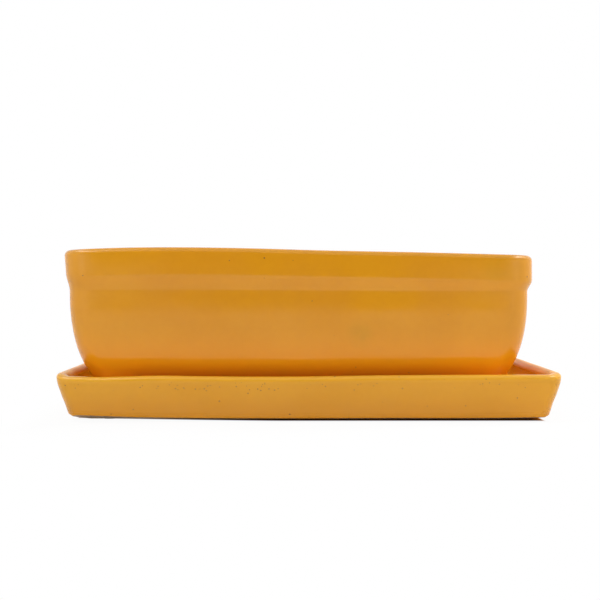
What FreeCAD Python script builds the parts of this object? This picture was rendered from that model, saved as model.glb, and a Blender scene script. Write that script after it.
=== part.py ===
import FreeCAD, Part
import math
import os

# A glazed trough pot for herbs, standing on four cast feet in a drip tray.
# Lengths are in millimetres. X runs along the trough, Y from front to back and Z up.
# The origin lies on the table, under the middle of the tray.

overrun = 5.0
near = 0.3

# Pot: sizes over its lip, heights from the face it stands on
pot_length = 288.0
pot_width = 148.0
pot_height = 98.1
pot_shift = -6.3
lip_corner = 16.0
neck_corner = 14.0
base_corner = 11.0
lip_overhang = 2.8
lip_bottom = 71.8
lip_rise = 15.0
neck_height = 67.5
belly_depth = 29.0
lip_outer_round = 3.3
lip_inner_round = 3.0
lip_rows = 6
belly_angles = (90, 82, 74, 64, 54, 44, 33, 22, 11, 0)

# Rim line, uneven as a hand-finished pot's is: drops below the crest along its length
rim_fall = 4.9
rim_place_shares = (-1.0, -0.72, -0.5, -0.2, 0.1, 0.55, 1.0)
rim_drop_shares = (0.33, 0.04, 0.0, 0.13, 0.38, 0.65, 1.0)

# Planting space inside the pot
pot_wall = 7.0
pot_floor = 7.0
inner_belly_depth = 24.0
inner_neck_corner = 9.0
inner_base_corner = 12.0

# Feet cast in one with the pot
foot_height = 7.0
foot_length = 38.0
foot_width = 22.0
foot_taper = 2.0
foot_corner = 6.0
foot_inset = 4.0

# Drip tray: its rim stands out past the pot's lip all round, and its wall is splayed
tray_reach = 8.5
tray_depth = 26.8
tray_wall = 6.0
tray_floor = 6.3
tray_splay = 18.7
tray_rim_band = 2.4
tray_bend = 16.0
tray_rim_corner = 9.0
tray_foot_corner = 7.0
tray_inner_corner = 8.0
tray_rim_round = 2.6
tray_heel = 3.5
tray_cove = 5.0
tray_foot_ring = 8.0
tray_recess = 0.8
tray_rows = 7

# Soft pads stuck into the recess under the tray
pad_diameter = 14.0
pad_height = 2.0
pad_inset = 22.0
pad_edge = 0.4

# Drain holes through the pot's floor
drain_diameter = 14.0
drain_spacing = 120.0
drain_round = 1.2

# Moulded screens that lie over the drain holes
screen_diameter = 40.0
screen_rim = 2.5
screen_rim_height = 2.0
screen_web = 1.2
screen_pitch = 4.4
screen_hole = 3.0

# Sizes and levels that follow from those above
tray_length = pot_length + 2 * tray_reach
tray_width = pot_width + 2 * tray_reach
tray_underside = pad_height - tray_recess
tray_floor_level = tray_underside + tray_floor
tray_rim_level = tray_underside + tray_depth
planting_floor = foot_height + pot_floor
screen_level = tray_floor_level + planting_floor


def ring(length, width, corner, height):
    """A level, closed line round a rectangle with rounded corners."""
    along = length / 2 - corner
    across = width / 2 - corner
    middles = ((along, across), (-along, across), (-along, -across), (along, -across))
    arcs = []
    for quarter, (x, y) in enumerate(middles):
        points = []
        for part_turn in (0, 45, 90):
            turn = math.radians(90 * quarter + part_turn)
            place = FreeCAD.Vector(x + corner * math.cos(turn), y + corner * math.sin(turn), height)
            points.append(place)
        arcs.append(points)
    edges = []
    for quarter, points in enumerate(arcs):
        next_start = arcs[(quarter + 1) % 4][0]
        edges.append(Part.Arc(*points).toShape())
        edges.append(Part.LineSegment(points[-1], next_start).toShape())
    return Part.Wire(edges)


def loft(length, width, stations):
    """A smooth solid through rings drawn in from one rectangle; a station is height, inset, corner."""
    rings = []
    for height, inset, corner in stations:
        rings.append(ring(length - 2 * inset, width - 2 * inset, corner, height))
    return Part.makeLoft(rings, True, False)


def cylinder(diameter, height, x, y, z):
    return Part.makeCylinder(diameter / 2, height, FreeCAD.Vector(x, y, z))


def level_edges(shape, height):
    """The edges that lie level at a height."""
    found = []
    for edge in shape.Edges:
        box = edge.BoundBox
        if abs(box.ZMin - height) < near and abs(box.ZMax - height) < near:
            found.append(edge)
    return found


def tray_inset(height):
    """How far the tray's outer wall is drawn in from its rim, at a height above the table."""
    drop = tray_rim_level - tray_rim_band - height
    bend_drop = tray_bend * math.sin(math.radians(tray_splay))
    if drop <= 0:
        return 0.0
    if drop < bend_drop:
        return tray_bend - math.sqrt(tray_bend ** 2 - drop ** 2)
    bend_inset = tray_bend * (1 - math.cos(math.radians(tray_splay)))
    return bend_inset + (drop - bend_drop) * math.tan(math.radians(tray_splay))


def tray_stations(bottom, thickness, foot_corner_size, rim_corner_size, top):
    """Rings up the tray's wall, from a bottom level to a top one."""
    stations = []
    rise = tray_rim_level - bottom
    for row in range(tray_rows + 1):
        share = row / tray_rows
        height = bottom + rise * share
        corner = foot_corner_size + (rim_corner_size - foot_corner_size) * share
        stations.append((height, tray_inset(height) + thickness, corner))
    if top > tray_rim_level:
        stations.append((top, thickness, rim_corner_size))
    return stations


def make_tray():
    """The splayed tray with its floor, coved inside and recessed underneath."""
    outside_stations = tray_stations(tray_underside, 0.0, tray_foot_corner, tray_rim_corner, tray_rim_level)
    outside = loft(tray_length, tray_width, outside_stations)
    outside = outside.makeFillet(tray_heel, level_edges(outside, tray_underside))
    hollow_top = tray_rim_level + overrun
    hollow_stations = tray_stations(
        tray_floor_level, tray_wall, tray_inner_corner, tray_inner_corner, hollow_top
    )
    hollow = loft(tray_length, tray_width, hollow_stations)
    hollow = hollow.makeFillet(tray_cove, level_edges(hollow, tray_floor_level))
    tray = outside.cut(hollow)
    tray = tray.makeFillet(tray_rim_round, level_edges(tray, tray_rim_level))
    recess_inset = tray_inset(tray_underside) + tray_foot_ring
    recess_stations = []
    for height in (tray_underside - overrun, tray_underside + tray_recess):
        recess_stations.append((height, recess_inset, tray_foot_corner))
    return tray.cut(loft(tray_length, tray_width, recess_stations))


def pad_places():
    """Middles of the four pads, named by where they lie."""
    edge_inset = tray_inset(tray_underside) + pad_inset
    along = tray_length / 2 - edge_inset
    across = tray_width / 2 - edge_inset
    return {
        "front_left": (-along, -across),
        "front_right": (along, -across),
        "back_left": (-along, across),
        "back_right": (along, across),
    }


def make_pad(x, y):
    pad = cylinder(pad_diameter, pad_height, x, y, 0)
    return pad.makeFillet(pad_edge, level_edges(pad, 0))


def belly_stations(base_level, top_inset, depth, top_corner, bottom_corner):
    """Rings of a belly, a quarter ellipse from a level base up to a plumb neck."""
    stations = []
    for angle in belly_angles:
        turn = math.radians(angle)
        height = neck_height - (neck_height - base_level) * math.sin(turn)
        drawn_in = 1 - math.cos(turn)
        corner = top_corner + (bottom_corner - top_corner) * drawn_in
        stations.append((height, top_inset + depth * drawn_in, corner))
    return stations


def pot_outside():
    """The outer form: curved-in base, slight neck and an easy swell into the lip."""
    stations = belly_stations(foot_height, lip_overhang, belly_depth, neck_corner, base_corner)
    for row in range(1, lip_rows + 1):
        share = row / lip_rows
        height = lip_bottom + lip_rise * share
        inset = lip_overhang * (1 + math.cos(math.pi * share)) / 2
        stations.append((height, inset, neck_corner + (lip_corner - neck_corner) * share))
    lip_top = lip_bottom + lip_rise
    for row in range(1, lip_rows):
        height = lip_top + (pot_height + overrun - lip_top) * row / (lip_rows - 1)
        stations.append((height, 0.0, lip_corner))
    return loft(pot_length, pot_width, stations)


def pot_hollow():
    """The planting space, open past the top of the rim."""
    top_inset = lip_overhang + pot_wall
    stations = belly_stations(
        planting_floor, top_inset, inner_belly_depth, inner_neck_corner, inner_base_corner
    )
    for row in range(1, lip_rows + 1):
        height = neck_height + (pot_height + overrun - neck_height) * row / lip_rows
        stations.append((height, top_inset, inner_neck_corner))
    return loft(pot_length, pot_width, stations)


def above_rim():
    """Everything above the uneven rim line, to be cut away."""
    half_length = pot_length / 2
    half_width = pot_width / 2 + overrun
    reach = (half_length + overrun) / half_length
    line = []
    for place, drop in zip(rim_place_shares, rim_drop_shares):
        line.append(FreeCAD.Vector(place * reach * half_length, -half_width, pot_height - drop * rim_fall))
    curve = Part.BSplineCurve()
    curve.interpolate(line)
    top = pot_height + overrun + overrun
    upper = [FreeCAD.Vector(line[-1].x, -half_width, top), FreeCAD.Vector(line[0].x, -half_width, top)]
    corners = [line[-1]] + upper + [line[0]]
    edges = [curve.toShape()]
    for start, end in zip(corners, corners[1:]):
        edges.append(Part.LineSegment(start, end).toShape())
    face = Part.Face(Part.Wire(edges))
    return face.extrude(FreeCAD.Vector(0, 2 * half_width, 0))


def rim_edges(shape):
    """The rim's outer edges and its inner edges, after the top is cut."""
    lowest = pot_height - rim_fall - near
    inner_reach = pot_length / 2 - (lip_overhang + pot_wall) + near
    inner_span = pot_width / 2 - (lip_overhang + pot_wall) + near
    outer, inner = [], []
    for edge in shape.Edges:
        if edge.BoundBox.ZMin < lowest:
            continue
        middle = edge.valueAt((edge.FirstParameter + edge.LastParameter) / 2)
        if abs(middle.x) > inner_reach or abs(middle.y) > inner_span:
            outer.append(edge)
        else:
            inner.append(edge)
    return outer, inner


def make_feet():
    """Four low feet near the corners of the pot's base, widening up into its floor."""
    base_length = pot_length - 2 * (lip_overhang + belly_depth)
    base_width = pot_width - 2 * (lip_overhang + belly_depth)
    along = base_length / 2 - foot_inset - foot_length / 2
    across = base_width / 2 - foot_inset - foot_width / 2
    sunk = pot_floor / 2
    widening = foot_taper * sunk / foot_height
    stations = (
        (0.0, foot_taper, foot_corner - foot_taper),
        (foot_height + sunk, -widening, foot_corner + widening),
    )
    feet = []
    for x in (-along, along):
        for y in (-across, across):
            foot = loft(foot_length, foot_width, stations)
            foot.translate(FreeCAD.Vector(x, y, 0))
            feet.append(foot)
    return feet


def drain_places():
    """Middles of the drain holes along the pot, named by side."""
    return {"left": -drain_spacing / 2, "right": drain_spacing / 2}


def make_pot():
    """The pot in its place on the tray's floor."""
    pot = pot_outside().fuse(make_feet()).removeSplitter()
    pot = pot.cut(pot_hollow()).cut(above_rim())
    outer, inner = rim_edges(pot)
    pot = pot.makeFillet(lip_outer_round, outer)
    outer, inner = rim_edges(pot)
    pot = pot.makeFillet(lip_inner_round, inner)
    for x in drain_places().values():
        pot = pot.cut(cylinder(drain_diameter, planting_floor + overrun, x, 0, 0))
    mouths = []
    for edge in pot.Edges:
        box = edge.BoundBox
        if abs(box.XLength - drain_diameter) < near and box.ZLength < near:
            mouths.append(edge)
    pot = pot.makeFillet(drain_round, mouths)
    pot.translate(FreeCAD.Vector(pot_shift, 0, tray_floor_level))
    return pot


def make_screen(x):
    """A round screen of square holes with a raised rim, over one drain hole."""
    middle_x = pot_shift + x
    screen = cylinder(screen_diameter, screen_rim_height, middle_x, 0, screen_level)
    well = screen_diameter - 2 * screen_rim
    screen = screen.cut(cylinder(well, screen_rim_height, middle_x, 0, screen_level + screen_web))
    reach = int(well / 2 / screen_pitch)
    corner_gap = screen_hole / 2
    holes = []
    for column in range(-reach, reach + 1):
        for row in range(-reach, reach + 1):
            along, across = column * screen_pitch, row * screen_pitch
            if math.hypot(abs(along) + corner_gap, abs(across) + corner_gap) < well / 2:
                corner = FreeCAD.Vector(
                    middle_x + along - corner_gap, across - corner_gap, screen_level - screen_web
                )
                holes.append(Part.makeBox(screen_hole, screen_hole, 3 * screen_web, corner))
    return screen.cut(holes)


parts = {}
parts["drip_tray"] = make_tray()
for name, (x, y) in pad_places().items():
    parts["tray_pad_" + name] = make_pad(x, y)
parts["pot"] = make_pot()
for name, x in drain_places().items():
    parts["drain_screen_" + name] = make_screen(x)

os.makedirs("parts", exist_ok=True)
for name, shape in parts.items():
    solid = shape.Solids[0]
    solid.exportStep("parts/" + name + ".step")
    box = solid.optimalBoundingBox()
    print(name, len(shape.Solids), solid.isValid(), round(solid.Volume), box)
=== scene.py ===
# %% [markdown]
# # A glazed herb trough in its drip tray
#
# The real object is two pieces of stoneware dipped in one orange-yellow glaze: a trough pot with a
# rolled lip, and the shallow tray that it drips into. Two loose screens lie over the drain holes,
# and four soft pads keep the tray off the windowsill. Nearly everything that the eye reads here is
# one smooth, slightly uneven surface and the way a satin glaze takes the light, so the lesson is
# mostly about drawing clean rings, letting them wobble as fired clay does, and finishing them well.
#
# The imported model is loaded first. It is the frame: every piece made below sits where it says.

import math

import bmesh
import bpy
import numpy as np
from mathutils import Matrix, Vector, noise


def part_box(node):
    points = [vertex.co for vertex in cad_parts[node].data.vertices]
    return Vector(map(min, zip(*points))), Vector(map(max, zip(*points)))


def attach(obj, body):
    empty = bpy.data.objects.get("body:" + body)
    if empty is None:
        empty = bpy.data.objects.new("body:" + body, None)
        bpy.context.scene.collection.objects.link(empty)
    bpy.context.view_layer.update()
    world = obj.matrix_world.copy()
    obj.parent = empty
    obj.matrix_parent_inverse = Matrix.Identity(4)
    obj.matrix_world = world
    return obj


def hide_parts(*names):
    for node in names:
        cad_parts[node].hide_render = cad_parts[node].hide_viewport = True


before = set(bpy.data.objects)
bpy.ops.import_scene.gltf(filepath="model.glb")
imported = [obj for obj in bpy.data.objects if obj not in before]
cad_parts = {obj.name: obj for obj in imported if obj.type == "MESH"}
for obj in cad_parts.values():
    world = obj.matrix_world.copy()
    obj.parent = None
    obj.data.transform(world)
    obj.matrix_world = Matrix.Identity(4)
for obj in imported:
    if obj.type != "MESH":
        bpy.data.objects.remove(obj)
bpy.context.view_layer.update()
MM = 0.001

# %% [markdown]
# ## Drawing with rings
#
# A trough could be modelled as a box with bevels, but its corners, lip and belly would fight each
# other. Here each level of the wall is one ring, a rectangle with rounded corners, and the wall is
# made by extruding the ring from level to level. Each point of a ring remembers two things: where
# its corner's middle lies, as a share of the rectangle, and which way is out. With those two it can
# be set on any later rectangle, however its size and its corners change, and the long edges stay
# evenly divided.

# %% Rings of edges
ring_step = 4 * MM
corner_steps = 10


def new_shape():
    """An empty mesh whose points can carry their place on a ring and the masks of its finish."""
    shape = bmesh.new()
    for layer in ("share", "outward"):
        shape.verts.layers.float_vector.new(layer)
    for layer in ("bare", "thin_and_highlit", "pooled_and_bounce", "worn_and_sheen", "painted_foot_shade"):
        shape.verts.layers.float.new(layer)
    return shape


def remember_places(shape, verts, length, width, corner, middle):
    """Stores each point's place on its rounded rectangle."""
    share = shape.verts.layers.float_vector["share"]
    outward = shape.verts.layers.float_vector["outward"]
    along = max(length / 2 - corner, 0)
    across = max(width / 2 - corner, 0)
    for vert in verts:
        place = vert.co - middle
        core = Vector((max(-along, min(along, place.x)), max(-across, min(across, place.y)), 0))
        vert[share] = (core.x / along if along else 0, core.y / across if across else 0, 0)
        vert[outward] = Vector((place.x - core.x, place.y - core.y, 0)).normalized()


def round_off(shape, geom, affect, radius, steps):
    """Rounds corners or edges off, and gives the new points."""
    return bmesh.ops.bevel(
        shape, geom=geom, affect=affect, offset=radius, offset_type="OFFSET", segments=steps,
        profile=0.5, material=-1,
    )["verts"]


def rounded_ring(shape, length, width, corner, height, middle=Vector()):
    """A ring of edges round a rectangle with rounded corners, cut into short steps."""
    square = bmesh.ops.create_grid(shape, x_segments=1, y_segments=1, size=0.5)["verts"]
    bmesh.ops.scale(shape, vec=(length, width, 1), verts=square)
    bmesh.ops.translate(shape, vec=middle + Vector((0, 0, height)), verts=square)
    face = round_off(shape, square, "VERTICES", corner, corner_steps)[0].link_faces[0]
    for edge in list(face.edges):
        cuts = round(edge.calc_length() / ring_step) - 1
        if cuts > 0:
            bmesh.ops.subdivide_edges(shape, edges=[edge], cuts=cuts)
    ring = list(face.edges)
    remember_places(shape, face.verts, length, width, corner, middle)
    bmesh.ops.delete(shape, geom=[face], context="FACES_ONLY")
    return ring


def round_ring(shape, radius, height, middle, steps=40):
    """A ring of edges round a circle, kept as a rectangle that is all corner."""
    verts = bmesh.ops.create_circle(shape, cap_ends=False, radius=radius, segments=steps)["verts"]
    bmesh.ops.translate(shape, vec=middle + Vector((0, 0, height)), verts=verts)
    remember_places(shape, verts, 2 * radius, 2 * radius, radius, middle)
    return list({edge for vert in verts for edge in vert.link_edges})


def grow_ring(shape, ring, length, width, rows, corner_at, middle=Vector(), marked=None):
    """Extrudes a ring through rows of height and inset, and can mark the new points with a mask.

    corner_at gives the corner at an inset.
    """
    share = shape.verts.layers.float_vector["share"]
    outward = shape.verts.layers.float_vector["outward"]
    for height, inset in rows:
        grown = bmesh.ops.extrude_edge_only(shape, edges=ring)["geom"]
        ring = [part for part in grown if isinstance(part, bmesh.types.BMEdge)]
        corner = corner_at(inset)
        along = max(length / 2 - inset - corner, 0)
        across = max(width / 2 - inset - corner, 0)
        for vert in (part for part in grown if isinstance(part, bmesh.types.BMVert)):
            vert.co.x = middle.x + vert[share].x * along + vert[outward].x * corner
            vert.co.y = middle.y + vert[share].y * across + vert[outward].y * corner
            vert.co.z = height
            for mask in ("bare", "painted_foot_shade"):
                vert[shape.verts.layers.float[mask]] = 1.0 if mask == marked else 0.0
    return ring


print("a ring point every", ring_step / MM, "mm, and", corner_steps, "steps round each corner")

# %% [markdown]
# ## Lines that a potter would draw
#
# The profile needs arcs for its roundings, and the unevenness needs smooth lines through a few
# heights. A row of the profile is a height and an inset, where the inset grows inwards from the
# piece's widest rectangle, so an arc at 0 degrees points outwards and at 90 degrees up.

# %% Arcs and easy lines


def arc_rows(height, inset, radius, first, last, steps):
    """Rows along an arc about a point of the profile, both its ends included."""
    rows = []
    for step in range(steps + 1):
        turn = math.radians(first + (last - first) * step / steps)
        rows.append((height + radius * math.sin(turn), inset - radius * math.cos(turn)))
    return rows


def straight_rows(start, end, steps):
    """Rows from one to another, without the first."""
    rows = []
    for step in range(1, steps + 1):
        part = step / steps
        rows.append((start[0] + (end[0] - start[0]) * part, start[1] + (end[1] - start[1]) * part))
    return rows


def eased(value, start, end):
    """0 at start and 1 at end, leaving and arriving gently."""
    part = min(max((value - start) / (end - start), 0), 1)
    return part * part * (3 - 2 * part)


def humped(value, start, full, still_full, end):
    """0 up to start, 1 from full to still_full, and 0 again from end on."""
    return eased(value, start, full) * (1 - eased(value, still_full, end))


def easy_line(places, heights):
    """A smooth line through a few heights, as a function of the place along it."""
    slopes = np.gradient(np.array(heights), np.array(places)).tolist()

    def height_at(place):
        span = 0
        while span < len(places) - 2 and place > places[span + 1]:
            span += 1
        reach = places[span + 1] - places[span]
        t = min(max((place - places[span]) / reach, 0), 1)
        rise = heights[span + 1] - heights[span]
        leave, arrive = slopes[span] * reach, slopes[span + 1] * reach
        bend = (3 * rise - 2 * leave - arrive) * t ** 2 + (leave + arrive - 2 * rise) * t ** 3
        return heights[span] + leave * t + bend

    return height_at


def wander(place, size, seed):
    """A smooth wandering value between about -1 and 1."""
    return noise.noise(place / size + Vector((seed, seed, seed)))


def put_in_scene(name, data):
    """A new object with its mesh, light or lens."""
    made = bpy.data.objects.new(name, data)
    bpy.context.scene.collection.objects.link(made)
    return made


def place_piece(shape, name, body, *nodes, slot):
    """Turns a shape's faces outwards and makes it a piece that stands for CAD nodes."""
    bmesh.ops.recalc_face_normals(shape, faces=shape.faces)
    open_edges = sum(1 for edge in shape.edges if not edge.is_manifold)
    vectors = shape.verts.layers.float_vector
    for layer in ("share", "outward"):
        if layer in vectors:
            vectors.remove(vectors[layer])
    mesh = bpy.data.meshes.new(name)
    shape.to_mesh(mesh)
    shape.free()
    mesh.shade_smooth()
    piece = put_in_scene(name, mesh)
    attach(piece, body)
    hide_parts(*nodes)
    print(name, "has", len(mesh.polygons), "faces and", open_edges, "open edges")
    return piece


# %% [markdown]
# ## The pot's wall
#
# A pot like this is pressed in a mould and then trimmed by hand. Its belly curves in from a plumb
# neck to a small base, which a quarter of an ellipse follows closely, and an easy S leads from the
# neck out into the lip. The ring starts at the base, climbs the belly, rolls over the lip and goes
# down inside to the floor, so inside and outside are one skin, as they are in clay.

# %% The pot's wall, from its base over the lip to its floor
pot_low, pot_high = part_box("pot")
lip_length = pot_high.x - pot_low.x
lip_width = pot_high.y - pot_low.y
pot_middle = Vector(((pot_low.x + pot_high.x) / 2, (pot_low.y + pot_high.y) / 2, 0))
rim_top = pot_high.z
base_level = pot_low.z + 7 * MM
floor_level = base_level + 7 * MM
neck_level = pot_low.z + 67.5 * MM
neck_inset = 2.8 * MM
belly_depth = 29 * MM
inner_belly_depth = 24 * MM
lip_foot = pot_low.z + 71.4 * MM
lip_rise = 11.3 * MM
outer_round = 3.3 * MM
inner_round = 3.0 * MM
inner_inset = neck_inset + 7 * MM
belly_rows = 26
lip_rows = 12
wall_rows = 8


def outer_corner(inset):
    marks = (0, neck_inset, neck_inset + belly_depth)
    return np.interp(inset, marks, (16 * MM, 14 * MM, 11 * MM))


def inner_corner(inset):
    marks = (0, inner_inset, inner_inset + inner_belly_depth)
    return np.interp(inset, marks, (16 * MM, 9 * MM, 12 * MM))


def belly_profile(bottom, top_inset, depth):
    """Rows up a quarter ellipse, from a level base to a plumb neck."""
    rows = []
    for step in range(belly_rows + 1):
        turn = math.radians(90 * (1 - step / belly_rows))
        height = neck_level - (neck_level - bottom) * math.sin(turn)
        rows.append((height, top_inset + depth * (1 - math.cos(turn))))
    return rows


outside_rows = belly_profile(base_level, neck_inset, belly_depth)
for step in range(lip_rows + 1):
    swell = (1 + math.cos(math.pi * step / lip_rows)) / 2
    outside_rows.append((lip_foot + lip_rise * step / lip_rows, neck_inset * swell))
outside_rows += arc_rows(rim_top - outer_round, outer_round, outer_round, 0, 90, 7)
inside_rows = arc_rows(rim_top - inner_round, inner_inset - inner_round, inner_round, 90, 180, 7)
inside_rows += straight_rows(inside_rows[-1], (neck_level, inner_inset), wall_rows)[:-1]
inside_rows += belly_profile(floor_level, inner_inset, inner_belly_depth)[::-1]

pot_shape = new_shape()
base_inset = neck_inset + belly_depth
base_ring = rounded_ring(
    pot_shape, lip_length - 2 * base_inset, lip_width - 2 * base_inset,
    outer_corner(base_inset), base_level, pot_middle,
)
# The outside rows start the mask of painted shade low on the belly.
lip_ring = grow_ring(
    pot_shape, base_ring, lip_length, lip_width, outside_rows[1:], outer_corner, pot_middle,
    marked="painted_foot_shade",
)
floor_ring = grow_ring(
    pot_shape, lip_ring, lip_length, lip_width, inside_rows, inner_corner, pot_middle
)
print("the pot's skin has", len(outside_rows) + len(inside_rows), "rows")

# %% [markdown]
# ## Feet and drain holes
#
# Four low feet are cast in one with the base, so that water can run out from under the pot. Each
# starts as a ring on the base, flares into it, tapers down and is rounded off. The drain holes are
# rings too, with softened mouths. The flat clay between all these rings is then one triangulated
# fill, above and below.

# %% Feet, holes and the flat clay between them
foot_length = 38 * MM
foot_width = 22 * MM
foot_inset = 4 * MM
foot_taper = 2 * MM
foot_corner = 6 * MM
foot_round = 1.5 * MM
hole_radius = 7 * MM
hole_round = 1.2 * MM
hole_places = (-60 * MM, 60 * MM)


def add_foot(shape, middle):
    """One foot below the base, with a flare above and a rounding below; returns its top ring."""
    length, width = foot_length + 2 * foot_round, foot_width + 2 * foot_round
    top = rounded_ring(shape, length, width, foot_corner + foot_round, base_level, middle)
    bottom = pot_low.z
    rows = arc_rows(base_level - foot_round, -foot_round, foot_round, 90, 180, 4)[1:]
    rows += straight_rows(rows[-1], (bottom + foot_round, foot_taper), 3)[:-1]
    rows += arc_rows(bottom + foot_round, foot_taper + foot_round, foot_round, 0, -90, 5)
    ring = grow_ring(
        shape, top, foot_length, foot_width, rows, lambda inset: foot_corner - inset, middle
    )
    bmesh.ops.contextual_create(shape, geom=ring)
    return top


def add_drain_hole(shape, middle):
    """One hole through the floor; returns its upper and lower mouth rings."""
    reach = hole_radius + hole_round
    upper = round_ring(shape, reach, floor_level, middle)
    rows = arc_rows(floor_level - hole_round, 0, hole_round, 90, 180, 4)[1:]
    rows += arc_rows(base_level + hole_round, 0, hole_round, 180, 270, 4)
    lower = grow_ring(
        shape, upper, 2 * reach, 2 * reach, rows, lambda inset: reach - inset, middle
    )
    return upper, lower


upper_rings, lower_rings = list(floor_ring), list(base_ring)
foot_along = lip_length / 2 - base_inset - foot_inset - foot_length / 2
foot_across = lip_width / 2 - base_inset - foot_inset - foot_width / 2
for side in (-1, 1):
    for face in (-1, 1):
        foot_middle = pot_middle + Vector((side * foot_along, face * foot_across, 0))
        lower_rings += add_foot(pot_shape, foot_middle)
for place in hole_places:
    upper, lower = add_drain_hole(pot_shape, pot_middle + Vector((place, 0, 0)))
    upper_rings += upper
    lower_rings += lower
for rings in (upper_rings, lower_rings):
    bmesh.ops.triangle_fill(pot_shape, use_beauty=True, use_dissolve=False, edges=rings)
print("the base has 4 feet and", len(hole_places), "drain holes")

# %% [markdown]
# ## Letting the pot be uneven
#
# A perfect trough looks like plastic. This pot's rim has its crest left of the middle and falls by
# 5 mm to the right, where the wall was trimmed low, and the whole lip follows it down while the
# neck stays level. The long walls draw in a little at mid-length and are fuller low down, as is
# the right end, and the lip is softer at the left end. The skin wanders by a few tenths of a
# millimetre, which is what makes reflections in real glaze swim. The flat floor and the feet stay
# true, because other pieces stand on them.
#
# The masks for the finish are set in the same pass.

# %% The pot's rim line, bowed walls and wandering skin
rim_fall = 4.9 * MM
rim_drop = easy_line(
    (-1.0, -0.72, -0.5, -0.2, 0.1, 0.55, 1.0), (0.33, 0.04, 0.0, 0.13, 0.38, 0.65, 1.0)
)
wall_bow = 0.9 * MM
right_fullness = 1.0 * MM
long_fullness = 2 * MM
left_softness = 0.9 * MM
left_reach = 0.85, 0.97
skin_wander, skin_wave, skin_seed = 0.35 * MM, 38 * MM, 3.7
still_below = floor_level + 4 * MM
loose_levels = still_below, still_below + 25 * MM
lowered_levels = neck_level - 1 * MM, lip_foot + 16 * MM
swell_levels = base_level, base_level + 14 * MM, base_level + 25 * MM, neck_level
fullest = base_level + 19 * MM
belly_levels = floor_level + 1 * MM, fullest, fullest, neck_level - 12 * MM
softest = lip_foot + 9 * MM
lip_levels = lip_foot, softest, softest, lip_foot + 18 * MM
# The rims are paler where the glaze is thin over them, and partly from a painted highlight.
thin_highlit_levels = rim_top - 4.5 * MM, rim_top - 1 * MM
bare_levels = pot_low.z + 0.3 * MM, pot_low.z + 1.3 * MM
# Painted shade: the lower belly darkens towards the base, most on the long sides, in the shade of
# the tray's rim.
foot_shade_levels = base_level + 9 * MM, base_level + 23 * MM
foot_shade_middle, foot_shade_reach = 0.06, (0.7, 0.9)

outward = pot_shape.verts.layers.float_vector["outward"]
thin_and_highlit, bare, painted_foot_shade = (pot_shape.verts.layers.float[mask] for mask in ("thin_and_highlit", "bare", "painted_foot_shade"))
for vert in pot_shape.verts:
    place = vert.co.copy()
    level = place.z
    along = (place.x - pot_middle.x) / (lip_length / 2)
    across = (place.y - pot_middle.y) / (lip_width / 2)
    away = Vector(vert[outward])
    vert[thin_and_highlit] = eased(level, *thin_highlit_levels)
    vert[bare] = 1 - eased(level, *bare_levels)
    # The painted shade fades out up the belly and towards the ends.
    vert[painted_foot_shade] *= 1 - eased(level, *foot_shade_levels)
    vert[painted_foot_shade] *= 1 - eased(abs(along - foot_shade_middle), *foot_shade_reach)
    loose = eased(level, *loose_levels)
    vert.co.z -= rim_fall * rim_drop(along) * eased(level, *lowered_levels)
    vert.co.y -= across * wall_bow * (1 - min(along * along, 1)) * loose
    vert.co.y += away.y * long_fullness * humped(level, *belly_levels)
    vert.co.x += right_fullness * max(along, 0) ** 4 * humped(level, *swell_levels)
    vert.co.x += left_softness * eased(-along, *left_reach) * humped(level, *lip_levels)
    vert.co += away * skin_wander * loose * wander(place, skin_wave, skin_seed)
pot = place_piece(pot_shape, "glazed_pot", "pot", "pot", slot="pot_glaze")

# %% [markdown]
# ## The drip tray
#
# The tray is a second ring drawing. It starts as one face, the ceiling of the shallow recess
# underneath, comes down to the foot ring that the glaze was wiped from, rounds the heel, climbs the
# splayed wall, bends upright just below the rim, rolls over and goes down inside to a coved floor.

# %% The tray's skin
tray_low, tray_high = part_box("drip_tray")
tray_length = tray_high.x - tray_low.x
tray_width = tray_high.y - tray_low.y
tray_top = tray_high.z
tray_bottom = tray_low.z
tray_floor = tray_bottom + 6.3 * MM
tray_wall = 6 * MM
recess_depth = 0.8 * MM
foot_ring = 8 * MM
splay = math.radians(18.7)
bend_radius = 16 * MM
rim_band = 2.4 * MM
heel_round = 0.9 * MM
cove_round = 5 * MM
tray_round = 2.6 * MM


def tray_inset(height):
    """How far the outer wall is drawn in from the rim at a height."""
    drop = tray_top - rim_band - height
    turned = bend_radius * math.sin(splay)
    if drop <= 0:
        return 0.0
    if drop < turned:
        return bend_radius - math.sqrt(bend_radius ** 2 - drop ** 2)
    return bend_radius * (1 - math.cos(splay)) + (drop - turned) * math.tan(splay)


def tray_wall_rows(bottom, top, thickness, steps):
    """Rows up one face of the wall, between two levels."""
    rows = []
    for step in range(1, steps):
        height = bottom + (top - bottom) * step / steps
        rows.append((height, tray_inset(height) + thickness))
    return rows


def wall_arc(level, radius, thickness):
    """The arc between a level face and the splayed wall, as rows from the level face up."""
    height = level + radius
    inset = tray_inset(height) + thickness + radius / math.cos(splay)
    return arc_rows(height, inset, radius, -90, -math.degrees(splay), 7)


def tray_outer_corner(inset):
    return np.interp(inset, (0, 8 * MM, 40 * MM), (9 * MM, 7 * MM, 5 * MM))


def tray_inner_corner(inset):
    return np.interp(inset, (0, tray_wall, 20 * MM), (9 * MM, 8 * MM, 5 * MM))


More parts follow.
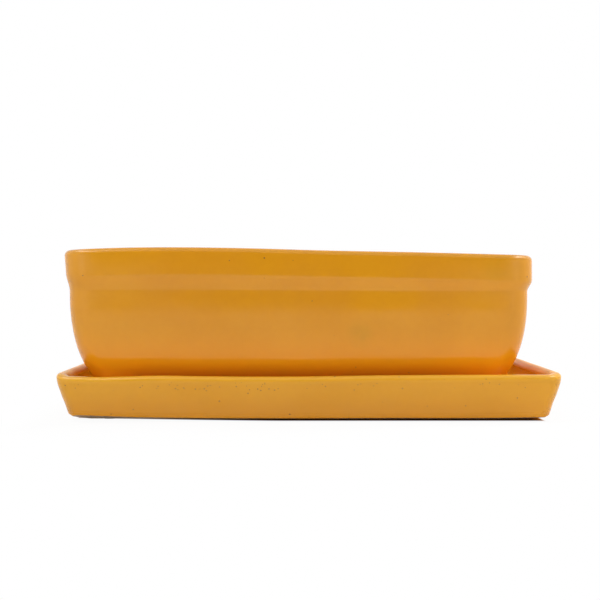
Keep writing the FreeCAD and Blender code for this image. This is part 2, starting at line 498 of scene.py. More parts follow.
foot_reach = tray_inset(tray_bottom)
ceiling = tray_bottom + recess_depth
heel_rows = wall_arc(tray_bottom, heel_round, 0)
cove_rows = wall_arc(tray_floor, cove_round, tray_wall)
rim_level = tray_top - tray_round
edge = 0.3 * MM
recess_rows = [
    (ceiling, foot_reach + foot_ring + edge),
    (ceiling - edge, foot_reach + foot_ring),
    (tray_bottom + edge, foot_reach + foot_ring),
    (tray_bottom, foot_reach + foot_ring - edge),
    (tray_bottom, heel_rows[0][1] + edge),
]
outer_rows = heel_rows + tray_wall_rows(heel_rows[-1][0], rim_level, 0, 14)
outer_rows += arc_rows(rim_level, tray_round, tray_round, 0, 90, 7)
inner_rows = arc_rows(rim_level, tray_wall - tray_round, tray_round, 90, 180, 7)
inner_rows += tray_wall_rows(cove_rows[-1][0], rim_level, tray_wall, 12)[::-1]
inner_rows += cove_rows[::-1]
inner_rows.append((tray_floor, cove_rows[0][1] + 1 * MM))

tray_shape = new_shape()
start_inset = foot_reach + foot_ring + 1 * MM
ring = rounded_ring(
    tray_shape, tray_length - 2 * start_inset, tray_width - 2 * start_inset,
    tray_outer_corner(start_inset), ceiling,
)
bmesh.ops.contextual_create(tray_shape, geom=ring)
bare = tray_shape.verts.layers.float["bare"]
for vert in tray_shape.verts:
    vert[bare] = 1.0
ring = grow_ring(
    tray_shape, ring, tray_length, tray_width, recess_rows, tray_outer_corner, marked="bare"
)
ring = grow_ring(tray_shape, ring, tray_length, tray_width, outer_rows, tray_outer_corner)
ring = grow_ring(tray_shape, ring, tray_length, tray_width, inner_rows, tray_inner_corner)
bmesh.ops.contextual_create(tray_shape, geom=ring)
print("the tray's skin has", len(recess_rows) + len(outer_rows) + len(inner_rows), "rows")

# %% [markdown]
# ## Letting the tray be uneven
#
# Long shallow trays warp in the kiln. This one's front rim dips near the left corner and left of
# the middle and rides up to the right, and the rims of the short sides stand higher. Its heel
# lifts off the table towards both ends, for 100 mm at the left and only 20 mm at the right. The
# back has the same lines turned end for end. The outer wall flares a little at its foot. The
# recess, its pads and the inner floor stay flat, so the pot still stands on all four feet. Wear
# has dulled the heel and the rims of the short sides, and those rims are painted paler: a painted
# sheen. The glaze is also paler on all the rims, partly a painted highlight, and brighter inside,
# partly painted bounce light.

# %% The tray's rim line and lifted heel
rim_lift = easy_line(
    (-1.0, -0.92, -0.83, -0.71, -0.59, -0.45, -0.2, 0.0, 0.12, 0.25, 0.5, 1.0),
    (0.1, -0.1, -0.45, 0.0, 0.4, 0.1, -0.2, -0.1, 0.2, 0.5, 0.8, 0.9),
)
heel_lift = easy_line(
    (-1.0, -0.92, -0.81, -0.69, -0.57, -0.33, -0.1, 0.3, 0.8, 0.9, 1.0),
    (3.3, 3.0, 2.4, 1.75, 1.4, 1.1, 1.0, 1.15, 1.35, 1.65, 2.8),
)
left_end_rise = 1.7 * MM
right_end_rise = 1.0 * MM
end_reach = 0.94, 0.985
corner_calm = 0.7
foot_flare = 1.1 * MM
tray_wander, tray_wave, tray_seed = 0.3 * MM, 30 * MM, 9.1
loose_levels = tray_floor + 3 * MM, tray_floor + 12 * MM
rim_levels = tray_floor + 4 * MM, tray_top - 3 * MM
heel_levels = tray_bottom, tray_floor + 10 * MM
flare_levels = tray_bottom + 1 * MM, tray_bottom + 12 * MM
# The rims are paler where the glaze is thin over them, and partly from a painted highlight.
thin_highlit_levels = tray_top - 4 * MM, tray_top - 1 * MM
# Inside the tray the glaze is brighter: it is thicker there, and the rest is painted bounce light.
pooled_and_bounce_levels = tray_floor + 8 * MM, tray_top - 1 * MM
# The end rims are dulled by wear and painted paler, a painted sheen.
rim_wear_and_sheen_levels = tray_top - 4 * MM, tray_top - 2 * MM
worn_heel_levels = tray_bottom + 0.5 * MM, tray_bottom + 3 * MM
half_length, half_width = tray_length / 2, tray_width / 2

outward = tray_shape.verts.layers.float_vector["outward"]
thin_and_highlit, pooled_and_bounce, worn_and_sheen = (tray_shape.verts.layers.float[mask] for mask in ("thin_and_highlit", "pooled_and_bounce", "worn_and_sheen"))
for vert in tray_shape.verts:
    place = vert.co.copy()
    level = place.z
    along = place.x / half_length
    front = 1 - eased(place.y, -half_width, half_width)
    away = Vector(vert[outward])
    inset = min(half_length - abs(place.x), half_width - abs(place.y))
    is_inside = level > tray_floor - edge and inset - tray_inset(level) > tray_wall / 2
    outside = 1 - eased(inset - foot_reach, 0.5 * MM, foot_ring - 1.5 * MM)
    vert[thin_and_highlit] = eased(level, *thin_highlit_levels)
    vert[pooled_and_bounce] = is_inside * (1 - eased(level, *pooled_and_bounce_levels))
    end_rim = eased(level, *rim_wear_and_sheen_levels)
    end_rim *= eased(abs(place.x), half_length - 10 * MM, half_length - 6 * MM)
    end_rim *= 1 - eased(abs(place.y), half_width - 10 * MM, half_width - 3 * MM)
    vert[worn_and_sheen] = max(end_rim, 1 - eased(level, *worn_heel_levels))
    raised_rim = rim_lift(along) * front + rim_lift(-along) * (1 - front)
    rising = eased(abs(along), *end_reach)
    rising *= 1 - corner_calm * eased(abs(place.y), half_width - 9 * MM, half_width - 1 * MM)
    left_like = front if place.x < 0 else 1 - front
    end_rise = left_end_rise * left_like + right_end_rise * (1 - left_like)
    raised_rim = raised_rim * MM + end_rise * rising
    raised_heel = heel_lift(along) * front + heel_lift(-along) * (1 - front)
    vert.co.z += raised_rim * eased(level, *rim_levels)
    vert.co.z += raised_heel * MM * outside * (1 - eased(level, *heel_levels))
    flare = 0.0 if is_inside else foot_flare * outside
    flare *= 1 - eased(level, *flare_levels)
    vert.co += away * flare
    loose = eased(level, *loose_levels)
    vert.co += away * tray_wander * loose * wander(place, tray_wave, tray_seed)
tray = place_piece(tray_shape, "glazed_tray", "tray", "drip_tray", slot="tray_glaze")

# %% [markdown]
# ## Drain screens
#
# A loose screen keeps the soil out of each drain hole. The real ones are moulded: a round web of
# square holes with a raised rim. A grid gives the web, with each whole cell inset and opened, and
# the outermost points are drawn out to a circle that the rim covers. The rim is a small rounded
# section, spun once round.

# %% Two moulded screens
screen_cell = 4.4 * MM
screen_hole = 3.0 * MM
screen_cells = 9
web_thickness = 1.2 * MM
rim_width = 2.5 * MM
rim_cover = 0.6 * MM
web_round, rim_round = 0.15 * MM, 0.6 * MM
upright = Matrix.Rotation(math.radians(90), 3, "X")


def moulded_screen(side):
    """A screen over one drain hole, in the place of its CAD node."""
    cad_node = "drain_screen_" + side
    low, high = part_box(cad_node)
    middle = Vector(((low.x + high.x) / 2, (low.y + high.y) / 2, low.z))
    radius = (high.x - low.x) / 2
    web_radius = radius - rim_width / 2
    shape = bmesh.new()
    bmesh.ops.create_grid(
        shape, x_segments=screen_cells, y_segments=screen_cells,
        size=screen_cell * screen_cells / 2,
    )
    outside = [face for face in shape.faces if face.calc_center_median().length > web_radius]
    bmesh.ops.delete(shape, geom=outside, context="FACES")
    whole = [
        face for face in shape.faces
        if all(vert.co.length < radius - rim_width + rim_cover for vert in face.verts)
    ]
    for vert in {vert for edge in shape.edges if edge.is_boundary for vert in edge.verts}:
        vert.co = vert.co.normalized() * web_radius
    bmesh.ops.inset_individual(shape, faces=whole, thickness=(screen_cell - screen_hole) / 2)
    bmesh.ops.delete(shape, geom=whole, context="FACES")
    bmesh.ops.solidify(shape, geom=list(shape.faces), thickness=web_thickness)
    lowest = min(vert.co.z for vert in shape.verts)
    bmesh.ops.translate(shape, vec=(0, 0, -lowest), verts=shape.verts)
    bmesh.ops.recalc_face_normals(shape, faces=shape.faces)
    sharp = [edge for edge in shape.edges if edge.calc_face_angle(0) > math.radians(60)]
    round_off(shape, sharp, "EDGES", web_round, 2)

    section = bmesh.ops.create_grid(shape, x_segments=1, y_segments=1, size=0.5)["verts"]
    height = high.z - low.z
    bmesh.ops.rotate(shape, matrix=upright, verts=section)
    bmesh.ops.scale(shape, vec=(rim_width, 1, height), verts=section)
    bmesh.ops.translate(shape, vec=(radius - rim_width / 2, 0, height / 2), verts=section)
    face = round_off(shape, section, "VERTICES", rim_round, 4)[0].link_faces[0]
    outline = list(face.verts) + list(face.edges)
    bmesh.ops.delete(shape, geom=[face], context="FACES_ONLY")
    bmesh.ops.spin(
        shape, geom=outline, axis=(0, 0, 1), cent=(0, 0, 0), angle=math.tau, steps=64,
        use_merge=True,
    )
    bmesh.ops.translate(shape, vec=middle, verts=shape.verts)
    return place_piece(
        shape, "moulded_screen_" + side, "screen_" + side, cad_node, slot="screen_plastic"
    )


screens = [moulded_screen(side) for side in ("left", "right")]

# %% [markdown]
# ## Pads under the tray
#
# Four pads of soft rubber are stuck into the recess. Each hangs from a thin adhesive disc and has
# a rounded edge below, so the profile is drawn once, from the middle out and back, and spun.

# %% Four stick-on pads


def stick_on_pad(corner):
    """A pad in the place of its CAD node: a short profile, spun about the pad's middle."""
    cad_node = "tray_pad_" + corner
    low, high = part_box(cad_node)
    middle = Vector(((low.x + high.x) / 2, (low.y + high.y) / 2, low.z))
    radius = (high.x - low.x) / 2
    height = high.z - low.z
    shape = bmesh.new()
    edge_round = 1.3 * MM
    disc_lip = 0.3 * MM
    flat = radius - edge_round - disc_lip
    outline = [(0, 0), (flat, 0)]
    for step in range(1, 6):
        turn = math.radians(18 * step)
        outline.append((flat + edge_round * math.sin(turn), edge_round * (1 - math.cos(turn))))
    outline += [
        (radius - disc_lip, height - 0.45 * MM),
        (radius - 0.1 * MM, height - 0.35 * MM),
        (radius, height - 0.2 * MM),
        (radius, height),
        (0, height),
    ]
    verts = [bmesh.ops.create_vert(shape, co=(x, 0, z))["vert"][0] for x, z in outline]
    edges = [shape.edges.new(pair) for pair in zip(verts, verts[1:])]
    bmesh.ops.spin(
        shape, geom=verts + edges, axis=(0, 0, 1), cent=(0, 0, 0), angle=math.tau, steps=40,
        use_merge=True,
    )
    bmesh.ops.remove_doubles(shape, verts=shape.verts, dist=0.01 * MM)
    bmesh.ops.translate(shape, vec=middle, verts=shape.verts)
    return place_piece(shape, "stick_on_pad_" + corner, "tray", cad_node, slot="pad_rubber")


pads = [stick_on_pad(corner) for corner in ("front_left", "front_right", "back_left", "back_right")]

# %% [markdown]
# ## Building materials from parts
#
# Several finishes share the same effects, so each effect is a node group with named inputs, built
# once. The groups only put out masks and colours; the shader stays in each material. Patterns read
# Object coordinates, which are metres here, so a scale of 100 makes features of about 10 mm.

# %% Helpers for node trees
FLOAT, COLOUR, VECTOR = "NodeSocketFloat", "NodeSocketColor", "NodeSocketVector"


def fill_inputs(tree, made, inputs):
    """Sets a node's inputs, each from a value or from another node's output."""
    for name, value in dict(inputs).items():
        if isinstance(value, bpy.types.NodeSocket):
            tree.links.new(value, made.inputs[name])
        else:
            made.inputs[name].default_value = value
    return made


def node(tree, kind, inputs=(), **settings):
    """A node with its settings and its inputs."""
    made = tree.nodes.new(kind)
    for name, value in settings.items():
        setattr(made, name, value)
    return fill_inputs(tree, made, inputs)


def mask(tree, name):
    """The value of one of the masks that the points carry."""
    return node(tree, "ShaderNodeAttribute", attribute_name=name).outputs["Fac"]


def maths(tree, operation, *values):
    """The output of a Math node."""
    return node(tree, "ShaderNodeMath", enumerate(values), operation=operation).outputs[0]


def ranged(tree, value, low, high, to_low=0.0, to_high=1.0, smooth=True):
    """A value's range mapped to another, eased at both ends and clamped."""
    kind = "SMOOTHSTEP" if smooth else "LINEAR"
    inputs = {
        "Value": value, "From Min": low, "From Max": high, "To Min": to_low, "To Max": to_high,
    }
    return node(tree, "ShaderNodeMapRange", inputs, interpolation_type=kind).outputs["Result"]


def mixed(tree, factor, first, second):
    """A mix of two colours."""
    inputs = {0: factor, 6: first, 7: second}
    return node(tree, "ShaderNodeMix", inputs, data_type="RGBA").outputs[2]


def noisy(tree, place, scale, detail=2.0, roughness=0.5):
    """The value of a noise texture."""
    inputs = {"Vector": place, "Scale": scale, "Detail": detail, "Roughness": roughness}
    return node(tree, "ShaderNodeTexNoise", inputs).outputs["Fac"]


def new_group(name, inputs, outputs):
    """An empty node group; inputs are name: (kind, value) and outputs name: kind."""
    tree = bpy.data.node_groups.new(name, "ShaderNodeTree")
    for label, (kind, value) in inputs.items():
        socket = tree.interface.new_socket(label, in_out="INPUT", socket_type=kind)
        if value is not None:
            socket.default_value = value
    for label, kind in outputs.items():
        tree.interface.new_socket(label, in_out="OUTPUT", socket_type=kind)
    return tree, node(tree, "NodeGroupInput"), node(tree, "NodeGroupOutput")


def use_group(tree, group, inputs):
    """The outputs of a group placed in a material."""
    return node(tree, "ShaderNodeGroup", inputs, node_tree=group).outputs


def new_material(name, cleared=False):
    """A new material, its node tree and its Object coordinates."""
    material = bpy.data.materials.new(name)
    material.use_nodes = True
    tree = material.node_tree
    if cleared:
        tree.nodes.clear()
    return material, tree, node(tree, "ShaderNodeTexCoord").outputs["Object"]


# %% [markdown]
# ## The glaze's tone
#
# A dipped glaze is never one colour: it is a little deeper where it ran together and a little
# paler where it is thin, in clouds of a few centimetres, with fine grain inside them. This group
# mixes three tones by two sizes of noise and by the mask of thin places along the rims, where the
# pale tone is partly a painted highlight.

# %% Group: glaze tone
glaze_tone, given, out = new_group(
    "glaze_tone",
    {
        "Place": (VECTOR, None), "Tone": (COLOUR, None), "Deep": (COLOUR, None),
        "Pale_and_highlit": (COLOUR, None), "Thin_and_highlit": (FLOAT, 0.0),
    },
    {"Color": COLOUR, "Cloud": FLOAT},
)
given = given.outputs
cloud = ranged(glaze_tone, noisy(glaze_tone, given["Place"], 22.0, 3.0), 0.32, 0.68)
fine = ranged(glaze_tone, noisy(glaze_tone, given["Place"], 260.0, 2.0, 0.6), 0.3, 0.7)
cloud = maths(glaze_tone, "MULTIPLY", cloud, 0.75)
cloud = maths(glaze_tone, "MULTIPLY_ADD", fine, 0.25, cloud)
toned = mixed(glaze_tone, cloud, given["Tone"], given["Deep"])
toned = mixed(glaze_tone, given["Thin_and_highlit"], toned, given["Pale_and_highlit"])
fill_inputs(glaze_tone, out, {"Color": toned, "Cloud": cloud})

# %% [markdown]
# ## Pinholes
#
# Gas leaves pits in a glaze as it fires, 0.3 to 1 mm across, with dark brown clay showing in them.
# Points of a 3-D Voronoi texture near the surface show as small round spots of differing size,
# just as bubbles cut by the skin do. A random value for each cell thins them out, so they can
# crowd in one band and be rare elsewhere.

# %% Group: pinholes
pinholes, given, out = new_group(
    "pinholes",
    {
        "Place": (VECTOR, None), "Cells": (FLOAT, 520.0), "Radius": (FLOAT, 0.14),
        "Density": (FLOAT, 0.1),
    },
    {"Mask": FLOAT, "Kind": FLOAT},
)
given = given.outputs
points = node(pinholes, "ShaderNodeTexVoronoi", {
    "Vector": given["Place"], "Scale": given["Cells"],
}).outputs
chance = node(pinholes, "ShaderNodeSeparateColor", {"Color": points["Color"]}).outputs
kept = maths(pinholes, "LESS_THAN", chance["Red"], given["Density"])
size = ranged(pinholes, chance["Green"], 0, 1, 0.6, 1.3, smooth=False)
size = maths(pinholes, "MULTIPLY", size, given["Radius"])
soft_edge = maths(pinholes, "MULTIPLY", size, 1.7)
spot = ranged(pinholes, points["Distance"], size, soft_edge, 1.0, 0.0)
spot = maths(pinholes, "MULTIPLY", spot, kept)
fill_inputs(pinholes, out, {"Mask": spot, "Kind": chance["Blue"]})

# %% [markdown]
# ## Bare clay
#
# The feet and the tray's foot ring are wiped before firing, so the glaze can't stick them to the
# shelf. There the clay itself shows: buff, dry, and flecked with iron.

# %% Group: bare clay
bare_clay, given, out = new_group(
    "bare_clay",
    {"Place": (VECTOR, None), "Clay": (COLOUR, None), "Fleck": (COLOUR, None)},
    {"Color": COLOUR, "Height": FLOAT},
)
given = given.outputs
mottle = noisy(bare_clay, given["Place"], 90.0, 4.0, 0.6)
grit = node(bare_clay, "ShaderNodeTexVoronoi", {"Vector": given["Place"], "Scale": 420.0})
fleck = ranged(bare_clay, grit.outputs["Distance"], 0.12, 0.22, 1.0, 0.0)
shade = ranged(bare_clay, mottle, 0.3, 0.7, 0.86, 1.1)
shaded = node(bare_clay, "ShaderNodeHueSaturation", {"Color": given["Clay"], "Value": shade})
flecked = mixed(bare_clay, fleck, shaded.outputs["Color"], given["Fleck"])
fill_inputs(bare_clay, out, {"Color": flecked, "Height": mottle})

# %% [markdown]
# ## The glaze on the pot and on the tray
#
# One recipe finishes both pieces: tone first, pinholes over it, bare clay where the masks say so.
# The glaze is satin, so its roughness is moderate and wanders a little, and a faint orange-peel
# bump breaks up the reflections. On the pot it ran down before it froze, so the belly turns a
# richer orange towards the base, and part of that is painted bounce light from the tray. Low on
# the belly, most on the long sides, a painted shade darkens the glaze where the tray's rim shades
# it. Inside the tray the glaze is brighter: it is thickest there, and the rest is painted bounce
# light. The tray is a little darker towards the bottom. The tray has a band of crowded pinholes
# under its rim, and the pot's front has two faint darker patches.

# %% Two glazes from one recipe
satin, dry = 0.18, 0.88
shine = 0.43
grain_height, pin_height, clay_height = 0.05, -0.02, 0.6
relief_depth = 0.5 * MM
heel_to_rim = 8 * MM, 14 * MM
# How much paler (a painted sheen) and how much duller the worn places are, from heel to rim.
paler_by, duller_by = (0.0, 0.5), (0.45, 0.2)
crowd_edge = 2 * MM
crowd_middle, crowd_reach = -50 * MM, (45 * MM, 60 * MM)
# The first colour is brighter glaze inside the tray, partly thicker glaze and partly painted bounce
# light; the second paints the worn end rims paler, a painted sheen.
thick_glaze_and_bounce, painted_rim_sheen = (0.97, 0.55, 0.018, 1), (0.95, 0.56, 0.22, 1)
# The first colour is painted shade low on the pot's belly; the second darkens two faint patches.
painted_shade_glaze, dark_patch_glaze = (0.56, 0.145, 0.003, 1), (0.43, 0.23, 0.006, 1)
dark_pin, brown_pin = (0.12, 0.03, 0.002, 1), (0.15, 0.055, 0.004, 1)
buff, iron = (0.47, 0.33, 0.21, 1), (0.16, 0.085, 0.04, 1)


def glaze_material(name, tones, thin_highlit_share, pin_density, low_tone, band=None, marks=()):
    """A satin glaze of three tones.

    pool is (colour, high, low): the colour comes in downwards between two heights.
    band is (low, high, density): more pinholes between two heights, mostly left of the middle.
    marks are (place, reach, strength): faint darker patches on the glaze.
    """
    material, tree, place = new_material(name)
    axes = node(tree, "ShaderNodeSeparateXYZ", {"Vector": place}).outputs
    height = axes["Z"]
    worn_and_sheen_mask = mask(tree, "worn_and_sheen")
    # The pale tone along the rims is partly thin glaze and partly a painted highlight.
    glaze = use_group(tree, glaze_tone, {
        "Place": place, "Tone": tones[0], "Deep": tones[1], "Pale_and_highlit": tones[2],
        "Thin_and_highlit": maths(tree, "MULTIPLY", mask(tree, "thin_and_highlit"), thin_highlit_share),
    })
    # Towards the base each piece takes its lower tone; on the pot that is partly painted bounce
    # light.
    low_colour, high, low = low_tone
    colour = mixed(tree, ranged(tree, height, low, high, 1.0, 0.0), glaze["Color"], low_colour)
    # Painted shade low on the pot's belly.
    colour = mixed(tree, mask(tree, "painted_foot_shade"), colour, painted_shade_glaze)
    # Brighter glaze inside the tray: thicker glaze and painted bounce light.
    colour = mixed(tree, mask(tree, "pooled_and_bounce"), colour, thick_glaze_and_bounce)
    # The worn end rims are painted paler: a painted sheen.
    paler = maths(tree, "MULTIPLY", worn_and_sheen_mask, ranged(tree, height, *heel_to_rim, *paler_by))
    colour = mixed(tree, paler, colour, painted_rim_sheen)
    for spot, reach, strength in marks:
        apart = node(tree, "ShaderNodeVectorMath", {0: place, 1: spot}, operation="DISTANCE")
        dark_patch = ranged(tree, apart.outputs["Value"], 0.2 * reach, reach, strength, 0.0)
        patchy = ranged(tree, noisy(tree, place, 150.0), 0.3, 0.6, 0.4)
        colour = mixed(tree, maths(tree, "MULTIPLY", dark_patch, patchy), colour, dark_patch_glaze)
    density = pin_density
    if band:
        low, high, crowded = band
        from_middle = maths(tree, "ABSOLUTE", maths(tree, "SUBTRACT", axes["X"], crowd_middle))
        crowd = ranged(tree, height, low, low + crowd_edge)
        for share in (
            ranged(tree, height, high - crowd_edge, high, 1.0, 0.0),
            ranged(tree, noisy(tree, place, 60.0, 1.0), 0.35, 0.55),
            ranged(tree, from_middle, *crowd_reach, 1.0, 0.25),
        ):
            crowd = maths(tree, "MULTIPLY", crowd, share)
        density = maths(tree, "MULTIPLY_ADD", crowd, crowded, pin_density)
    pins = use_group(tree, pinholes, {"Place": place, "Density": density})
    pinned = mixed(tree, pins["Mask"], colour, mixed(tree, pins["Kind"], dark_pin, brown_pin))
    clay = use_group(tree, bare_clay, {"Place": place, "Clay": buff, "Fleck": iron})
    wiped = maths(tree, "MULTIPLY_ADD", noisy(tree, place, 130.0), 0.5, mask(tree, "bare"))
    bare_share = ranged(tree, wiped, 0.67, 0.8)
    colour = mixed(tree, bare_share, pinned, clay["Color"])

    rough = ranged(tree, glaze["Cloud"], 0.2, 0.8, satin - 0.035, satin + 0.04)
    rough = maths(tree, "MULTIPLY_ADD", pins["Mask"], 0.3, rough)
    duller = ranged(tree, height, *heel_to_rim, *duller_by)
    rough = maths(tree, "MULTIPLY_ADD", worn_and_sheen_mask, duller, rough)
    rough = ranged(tree, bare_share, 0, 1, rough, dry, smooth=False)

    relief = maths(tree, "MULTIPLY", noisy(tree, place, 190.0, 2.0, 0.45), grain_height)
    relief = maths(tree, "MULTIPLY_ADD", pins["Mask"], pin_height, relief)
    dry_grain = maths(tree, "MULTIPLY", clay["Height"], bare_share)
    relief = maths(tree, "MULTIPLY_ADD", dry_grain, clay_height, relief)
    bump = node(tree, "ShaderNodeBump", {"Height": relief, "Distance": relief_depth})
    fill_inputs(tree, tree.nodes["Principled BSDF"], {
        "Base Color": colour, "Roughness": rough, "Specular IOR Level": shine,
        "Normal": bump.outputs["Normal"],
    })
    return material


# The third tone of each is the paler rim: thin glaze and a painted highlight.
pot_tones = (0.675, 0.287, 0.0085, 1), (0.635, 0.257, 0.0065, 1), (0.72, 0.33, 0.02, 1)
tray_tones = (0.69, 0.32, 0.009, 1), (0.65, 0.29, 0.007, 1), (0.83, 0.42, 0.03, 1)
# Towards its base the pot turns a richer orange: glaze that ran down, and painted bounce light from
# the tray.
pot_run_and_bounce = (0.86, 0.32, 0.006, 1), 60 * MM, 24 * MM
# The tray is a little darker towards the bottom.
tray_low_tone = (0.65, 0.27, 0.006, 1), 20 * MM, 3 * MM
# Two faint darker patches on the pot's front.
pot_marks = (
    ((31.5 * MM, pot_low.y, 52 * MM), 12 * MM, 0.36),
    ((114 * MM, pot_low.y, 92 * MM), 12 * MM, 0.17),
)
tray_band = tray_top - 9 * MM, tray_top - 3 * MM, 1.3
pot.data.materials.append(
    glaze_material("pot_amber_glaze", pot_tones, 0.2, 0.005, pot_run_and_bounce, marks=pot_marks)
)
tray.data.materials.append(
    glaze_material("tray_amber_glaze", tray_tones, 0.7, 0.03, tray_low_tone, band=tray_band)
)
print("two glazes share", len(bpy.data.node_groups), "node groups")

# %% [markdown]
# ## Moulded plastic and rubber
#
# The screens are near-black plastic from a textured mould, with paler scuffs where they rub. The
# pads are soft rubber: matt, dusty, and a little uneven. Both use one simple recipe with different
# values.

# %% Screen and pad finishes


def dull_material(name, dark, light, scale, dullness, depth):
    """A matt finish mottled between two tones, with a fine grain in its relief."""
    material, tree, place = new_material(name)
    mottle = noisy(tree, place, scale, 5.0, 0.62)
    colour = mixed(tree, ranged(tree, mottle, 0.35, 0.72), dark, light)
    rough = ranged(tree, mottle, 0.3, 0.7, dullness - 0.08, dullness + 0.08)
    grain = {"Height": noisy(tree, place, 2200.0), "Strength": 0.5, "Distance": depth}
    bump = node(tree, "ShaderNodeBump", grain)
    fill_inputs(tree, tree.nodes["Principled BSDF"], {
        "Base Color": colour, "Roughness": rough, "Normal": bump.outputs["Normal"],
    })
    return material


blacks = (0.020, 0.020, 0.021, 1), (0.052, 0.051, 0.050, 1)
greys = (0.035, 0.033, 0.031, 1), (0.075, 0.070, 0.064, 1)
screen_finish = dull_material("moulded_black_plastic", *blacks, 160.0, 0.48, 0.15 * MM)
pad_finish = dull_material("soft_grey_rubber", *greys, 240.0, 0.78, 0.1 * MM)
for piece in screens:
    piece.data.materials.append(screen_finish)
for piece in pads:
    piece.data.materials.append(pad_finish)
print("finished", len(screens), "screens and", len(pads), "pads")

# %% [markdown]
# ## A plain table and a white room
#
# The object stands on a plain white table in a white room. The table is a diffuse surface that
# keeps the shadow under the tray. For what the camera and the reflections see, it fades to plain
# white near the tray's foot, and the room is plain white. Under the lifted heel the fade starts
# further in, so that only a thin dark line is left there. Right under the tray the table is
# painted in the glaze's own colour: a painted orange shade, like the tint that light bounced from
# the glaze gives real shade there.

# %% The table and the room
WHITE = (1, 1, 1, 1)
# The first tone is a painted orange shade under the tray; the second is the table's white.
shade_and_table_tones = (0.55, 0.19, 0.012, 1), (0.9, 0.9, 0.9, 1)
lifted_reach, lifted_shift = (17 * MM, 150 * MM), 17 * MM
side_margin, side_steepness, side_shift = 2.5 * MM, 3, -8 * MM
near_fade, far_fade, shade_tint_fade = (-8.5 * MM, -3.3 * MM), (10 * MM, 120 * MM), (-5 * MM, 5 * MM)
room_light = 0.1


def staged_plane(name, size, material, turn=None, place=(0, 0, 0)):
    """A flat plane that is part of the studio and not of the object."""
    shape = bmesh.new()
    bmesh.ops.create_grid(shape, x_segments=1, y_segments=1, size=0.5)
    bmesh.ops.scale(shape, vec=(size[0], size[1], 1), verts=shape.verts)
    if turn:
        bmesh.ops.rotate(shape, matrix=turn, verts=shape.verts)
    bmesh.ops.translate(shape, vec=place, verts=shape.verts)
    mesh = bpy.data.meshes.new(name)
    shape.to_mesh(mesh)
    shape.free()
    mesh.materials.append(material)
    plane = put_in_scene(name, mesh)
    return plane


def plainly_seen(tree):
    """1 for what the camera, reflections and clear materials see, and 0 for the light itself."""
    path = node(tree, "ShaderNodeLightPath").outputs
    seen = maths(tree, "MAXIMUM", path["Is Camera Ray"], path["Is Glossy Ray"])
    return maths(tree, "MAXIMUM", seen, path["Is Transmission Ray"])


table_white, tree, place = new_material("plain_white_table", cleared=True)
where = node(tree, "ShaderNodeSeparateXYZ", {"Vector": place}).outputs
turned = maths(tree, "MULTIPLY", where["X"], maths(tree, "SIGN", where["Y"]))
lifted = ranged(tree, turned, *lifted_reach, smooth=False)
lifted = maths(tree, "POWER", lifted, 1.25)
from_middle = maths(tree, "ABSOLUTE", where["X"])
past_side = maths(tree, "SUBTRACT", from_middle, half_length - foot_reach - side_margin)
past_side = maths(tree, "MULTIPLY_ADD", past_side, side_steepness, side_shift)
from_middle = maths(tree, "ABSOLUTE", where["Y"])
past_front = maths(tree, "SUBTRACT", from_middle, half_width - foot_reach)
past_front = maths(tree, "MULTIPLY_ADD", lifted, lifted_shift, past_front)
past_foot = maths(tree, "MAXIMUM", past_side, past_front)
open_table = ranged(tree, past_foot, *near_fade, 0.0, 0.95)
open_table = maths(tree, "ADD", open_table, ranged(tree, past_foot, *far_fade, 0.0, 0.05))
# Under the tray the table is painted in a shade of the glaze's colour.
shade_tinted_table = mixed(tree, ranged(tree, past_foot, *shade_tint_fade), *shade_and_table_tones)
shadowed = node(tree, "ShaderNodeBsdfDiffuse", {"Color": shade_tinted_table})
plain = node(tree, "ShaderNodeEmission", {"Color": WHITE, "Strength": 1.0})
mix = node(tree, "ShaderNodeMixShader", {
    0: maths(tree, "MULTIPLY", open_table, plainly_seen(tree)),
    1: shadowed.outputs[0], 2: plain.outputs[0],
})
node(tree, "ShaderNodeOutputMaterial", {"Surface": mix.outputs[0]})
staged_plane("plain_table", (4.4, 4.4), table_white)

room = bpy.data.worlds.new("white_room")
bpy.context.scene.world = room
room.use_nodes = True
tree = room.node_tree
brightness = ranged(tree, plainly_seen(tree), 0, 1, room_light, 1.0, smooth=False)
fill_inputs(tree, tree.nodes["Background"], {"Color": WHITE, "Strength": brightness})

# %% [markdown]
# ## Soft light
#
# Two wide lamps, one high at the left and one at the right, are for reflections only and show as
# highlights on the rounded corners of both rims. The others light the surface and show in no
# reflection. Two softboxes hang high at the sides and one overhead, most of the light on the front
# comes from two low fills, and two more, out to the sides, light the ends of the pot and reach
# down into the tray; the right one is the stronger. Behind the camera the room is dim, here two
# cards that only reflections see, one upright and one flat on the table. They are darkest in the
# middle, which keeps the upright faces rich in colour, and paler towards the sides.

# %% Lights and the dark cards
look_at = Vector((0, 0, 50 * MM))
card_lean, card_reach, card_glow = -0.6, (0.185, 0.345), (0.03, 0.9)


def softbox(name, azimuth, elevation, distance, width, height, power):
    """An area light at a bearing from the object, turned to face it."""
    light = bpy.data.lights.new(name, "AREA")
    light.shape = "RECTANGLE"
    light.size = width
    light.size_y = height
    light.energy = power
    lamp = put_in_scene(name, light)
    bearing, rise = math.radians(azimuth), math.radians(elevation)
    level = math.cos(rise)
    back = Vector((math.sin(bearing) * level, -math.cos(bearing) * level, math.sin(rise)))
    lamp.location = look_at + back * distance
    lamp.rotation_euler = back.to_track_quat("Z", "Y").to_euler()
    lamp.visible_camera = False
    return lamp


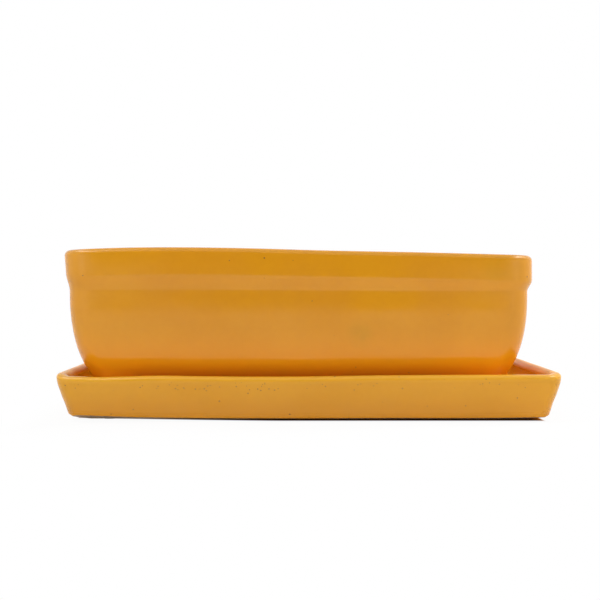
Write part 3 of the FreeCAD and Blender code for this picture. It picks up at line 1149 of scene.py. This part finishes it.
glints = (
    softbox("left_glint", -62, 57, 1.3, 0.9, 0.34, 8),
    softbox("right_glint", 82, 53, 1.3, 0.9, 0.46, 8),
)
unseen = (
    softbox("left_softbox", -66, 57, 1.3, 0.34, 0.34, 5),
    softbox("right_softbox", 112, 38, 1.3, 0.34, 0.34, 5),
    softbox("overhead_softbox", 0, 86, 1.3, 1.3, 1.3, 3.5),
    softbox("left_fill", -38, 8, 1.5, 0.6, 0.6, 6.3),
    softbox("right_fill", 38, 8, 1.5, 0.6, 0.6, 6.2),
    softbox("left_side_fill", -103, 30, 1.4, 0.6, 0.6, 3.8),
    softbox("right_side_fill", 103, 30, 1.4, 0.6, 0.6, 10.5),
)
for lamp in glints:
    lamp.visible_diffuse = False
for lamp in unseen:
    lamp.visible_glossy = False

card_dark, tree, place = new_material("dark_card", cleared=True)
where = node(tree, "ShaderNodeSeparateXYZ", {"Vector": place}).outputs
aside = maths(tree, "MULTIPLY_ADD", where["Z"], card_lean, maths(tree, "ABSOLUTE", where["X"]))
glow = ranged(tree, aside, *card_reach, *card_glow)
dimly = node(tree, "ShaderNodeEmission", {"Strength": glow})
node(tree, "ShaderNodeOutputMaterial", {"Surface": dimly.outputs[0]})
dark_cards = (
    staged_plane("dark_card_upright", (3.2, 0.9), card_dark, upright, (0, -1.6, 0.45)),
    staged_plane("dark_card_level", (3.2, 1.1), card_dark, None, (0, -1.1, 1 * MM)),
)
for card in dark_cards:
    card.visible_camera = card.visible_diffuse = False
    card.visible_transmission = card.visible_shadow = False

# %% [markdown]
# ## The camera
#
# The photograph looks straight at the long side from just under the height of the rim, 0.7 m away.
# The planter's vanishing point lies a little above the middle of the frame, so the camera looks
# down by almost one degree.

# %% Camera
lens_data = bpy.data.cameras.new("front_camera")
lens_data.sensor_width = 36
lens_data.lens = 70.4
camera = put_in_scene("front_camera", lens_data)
camera.location = (-6.6 * MM, -782.5 * MM, 85 * MM)
camera.rotation_euler = (math.radians(90 - 0.92), 0, math.radians(-0.1))
bpy.context.scene.camera = camera
bpy.context.scene.view_settings.view_transform = "Standard"
